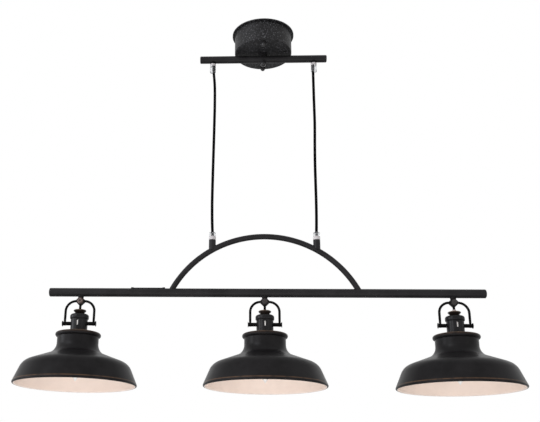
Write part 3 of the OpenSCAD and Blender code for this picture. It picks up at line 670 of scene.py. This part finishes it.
def add_bail(bm, x):
    """Two bent rods with eyes."""
    rod, bend, hub_z, bend_x, upright = 2.6, 21.5, -19.3, 9.0, 30.5
    for side in (-1, 1):
        path = [(5.6, hub_z), (7.4, hub_z)]
        path += arc(bend_x, hub_z - bend, bend, 90, 0, 20)
        path += [(upright, z) for z in (-46, -54, -60, -63.2, -64.6)]
        radii = [rod / 1000] * (len(path) - 3) + [0.00255, 0.0024, 0.0022]
        add_tube(bm, [(x + side * a / 1000, 0, BAR + z / 1000) for a, z in path], radii, 20)
        add_lathe(bm, mm(EYE), (x + side * EYE_X, 0, PIN), "X", 40)


def place(piece, node, body):
    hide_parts(node)
    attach(piece, body)


def turned(name, profile, material, x, steps=64, closed=True):
    bm = bmesh.new()
    add_lathe(bm, profile, (x, 0, 0), steps=steps, closed=closed)
    return finish_mesh(name, bm, 32, [material])


def make_shade(lamp, x):
    profile, slots = shade_profile()
    bm = bmesh.new()
    add_lathe(bm, profile, (x, 0, 0), steps=144, slots=slots)
    piece = finish_mesh(f"shade_{lamp}_spun", bm, 50, [shade_paint, enamel])
    place(piece, f"shade_{lamp}", f"head_{lamp}")


def make_bulb(lamp, x):
    head = f"head_{lamp}"
    base = turned(f"bulb_base_{lamp}_screw", base_profile(), nickel, x, closed=False)
    place(base, f"bulb_base_{lamp}", head)
    bm = bmesh.new()
    add_lathe(bm, glass_profile(), (x, 0, 0), steps=64, closed=False)
    # Faces below the tip's drop take the paler glass, a painted highlight on the bulb's tip
    for face in bm.faces:
        face.material_index = int(face.calc_center_median().z < BAR - TIP_DROP)
    add_lathe(bm, under(STEM), (x, 0, 0), steps=24, closed=False)
    glass = finish_mesh(f"bulb_glass_{lamp}_envelope", bm, 40, [bulb_glass, bulb_tip_painted_bright])
    place(glass, f"bulb_glass_{lamp}", head)
    for name, add, material in (("supports", add_supports, nickel), ("filament", add_filament, tungsten)):
        bm = bmesh.new()
        add(bm, x)
        piece = finish_mesh(f"bulb_{lamp}_{name}", bm, 50, [material])
        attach(piece, head)


def make_lead(lamp, x, bottom):
    """The short lead between the knuckle and the bushing."""
    steps = 9
    heights = [LEAD_TOP + (bottom - LEAD_TOP) * i / steps for i in range(steps + 1)]
    path = [(x, 0, BAR - z / 1000) for z in heights]
    bm = bmesh.new()
    add_tube(bm, path, LEAD_D / 2, 20)
    lead = finish_mesh(f"lead_{lamp}_sheath", bm, 40, [cord_sheath])
    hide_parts(f"lead_{lamp}")
    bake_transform(lead)


for lamp, x in LAMPS.items():
    head = f"head_{lamp}"
    make_shade(lamp, x)
    make_bulb(lamp, x)
    holder = turned(f"lampholder_{lamp}_body", holder_profile(), porcelain, x)
    place(holder, f"lampholder_{lamp}", head)
    bushing = turned(f"bushing_{lamp}_seal", seal_profile(BUSHING_TOP[lamp]), pale_bushing, x, steps=48)
    place(bushing, f"bushing_{lamp}", head)
    bm = bmesh.new()
    add_bail(bm, x)
    place(finish_mesh(f"bail_{lamp}_rods", bm, 40, [rod_paint]), f"bail_{lamp}", "frame")
    make_lead(lamp, x, BUSHING_TOP[lamp])

bm = bmesh.new()
for x in LAMPS.values():
    for side, axis in ((1, "X"), (-1, "-X")):
        add_lathe(bm, mm(CAP), (x + side * (EYE_X + EYE_HALF), 0, PIN), axis, 48, closed=False)
place(finish_mesh("pin_caps_turned", bm, 40, [rod_paint]), "pin_caps", "frame")


# Floor, backdrop and lamps
FLOOR_Z = -1.35
LIT_POINT = Vector((0, 0, -0.65))
SURROUND_LEVEL = 0.62


def lamp_light(name, spot, size, power, colour):
    data = bpy.data.lights.new(name, "AREA")
    data.size = size
    data.energy = power
    data.color = colour
    light = bpy.data.objects.new(name, data)
    light.location = spot
    light.rotation_euler = (LIT_POINT - Vector(spot)).to_track_quat("-Z", "Y").to_euler()
    scene.collection.objects.link(light)


def make_floor():
    bm = bmesh.new()
    bmesh.ops.create_grid(bm, x_segments=2, y_segments=2, size=9)
    n = Nodes("floor")
    n.to("Base Color", n.mix(n.noise(3), (0.8, 0.8, 0.8), (0.83, 0.83, 0.83)))
    n.set(Roughness=0.9, Specular_IOR_Level=0.1)
    floor = finish_mesh("floor", bm, 32, [n.material])
    floor.location = (0, 0, FLOOR_Z)


def make_world():
    """White for the camera and in reflections, and a plain level for the light on surfaces."""
    world = bpy.data.worlds.new("world")
    scene.world = world
    world.use_nodes = True
    tree = world.node_tree
    back = tree.nodes["Background"]
    back.inputs["Color"].default_value = (1, 1, 1, 1)
    path = tree.nodes.new("ShaderNodeLightPath")
    shown = path.outputs["Is Camera Ray"]
    for ray in ("Is Glossy Ray", "Is Transmission Ray"):
        either = tree.nodes.new("ShaderNodeMath")
        either.operation = "MAXIMUM"
        tree.links.new(shown, either.inputs[0])
        tree.links.new(path.outputs[ray], either.inputs[1])
        shown = either.outputs[0]
    level = tree.nodes.new("ShaderNodeMapRange")
    level.inputs["To Min"].default_value = SURROUND_LEVEL
    level.inputs["To Max"].default_value = 1.0
    tree.links.new(shown, level.inputs["Value"])
    tree.links.new(level.outputs[0], back.inputs["Strength"])


make_floor()
make_world()
lamp_light("key", (-2.4, -2.2, 0.7), 1.5, 40, (0.93, 0.95, 1.0))
lamp_light("side", (-3.0, -0.5, -0.4), 1.2, 24, (0.93, 0.95, 1.0))
lamp_light("fill", (2.6, -2.4, -0.4), 1.6, 6, (1.0, 0.98, 0.95))
lamp_light("low", (0, -0.6, -1.3), 1.4, 8.8, (1.0, 0.97, 0.94))

scene.view_settings.view_transform = "Standard"
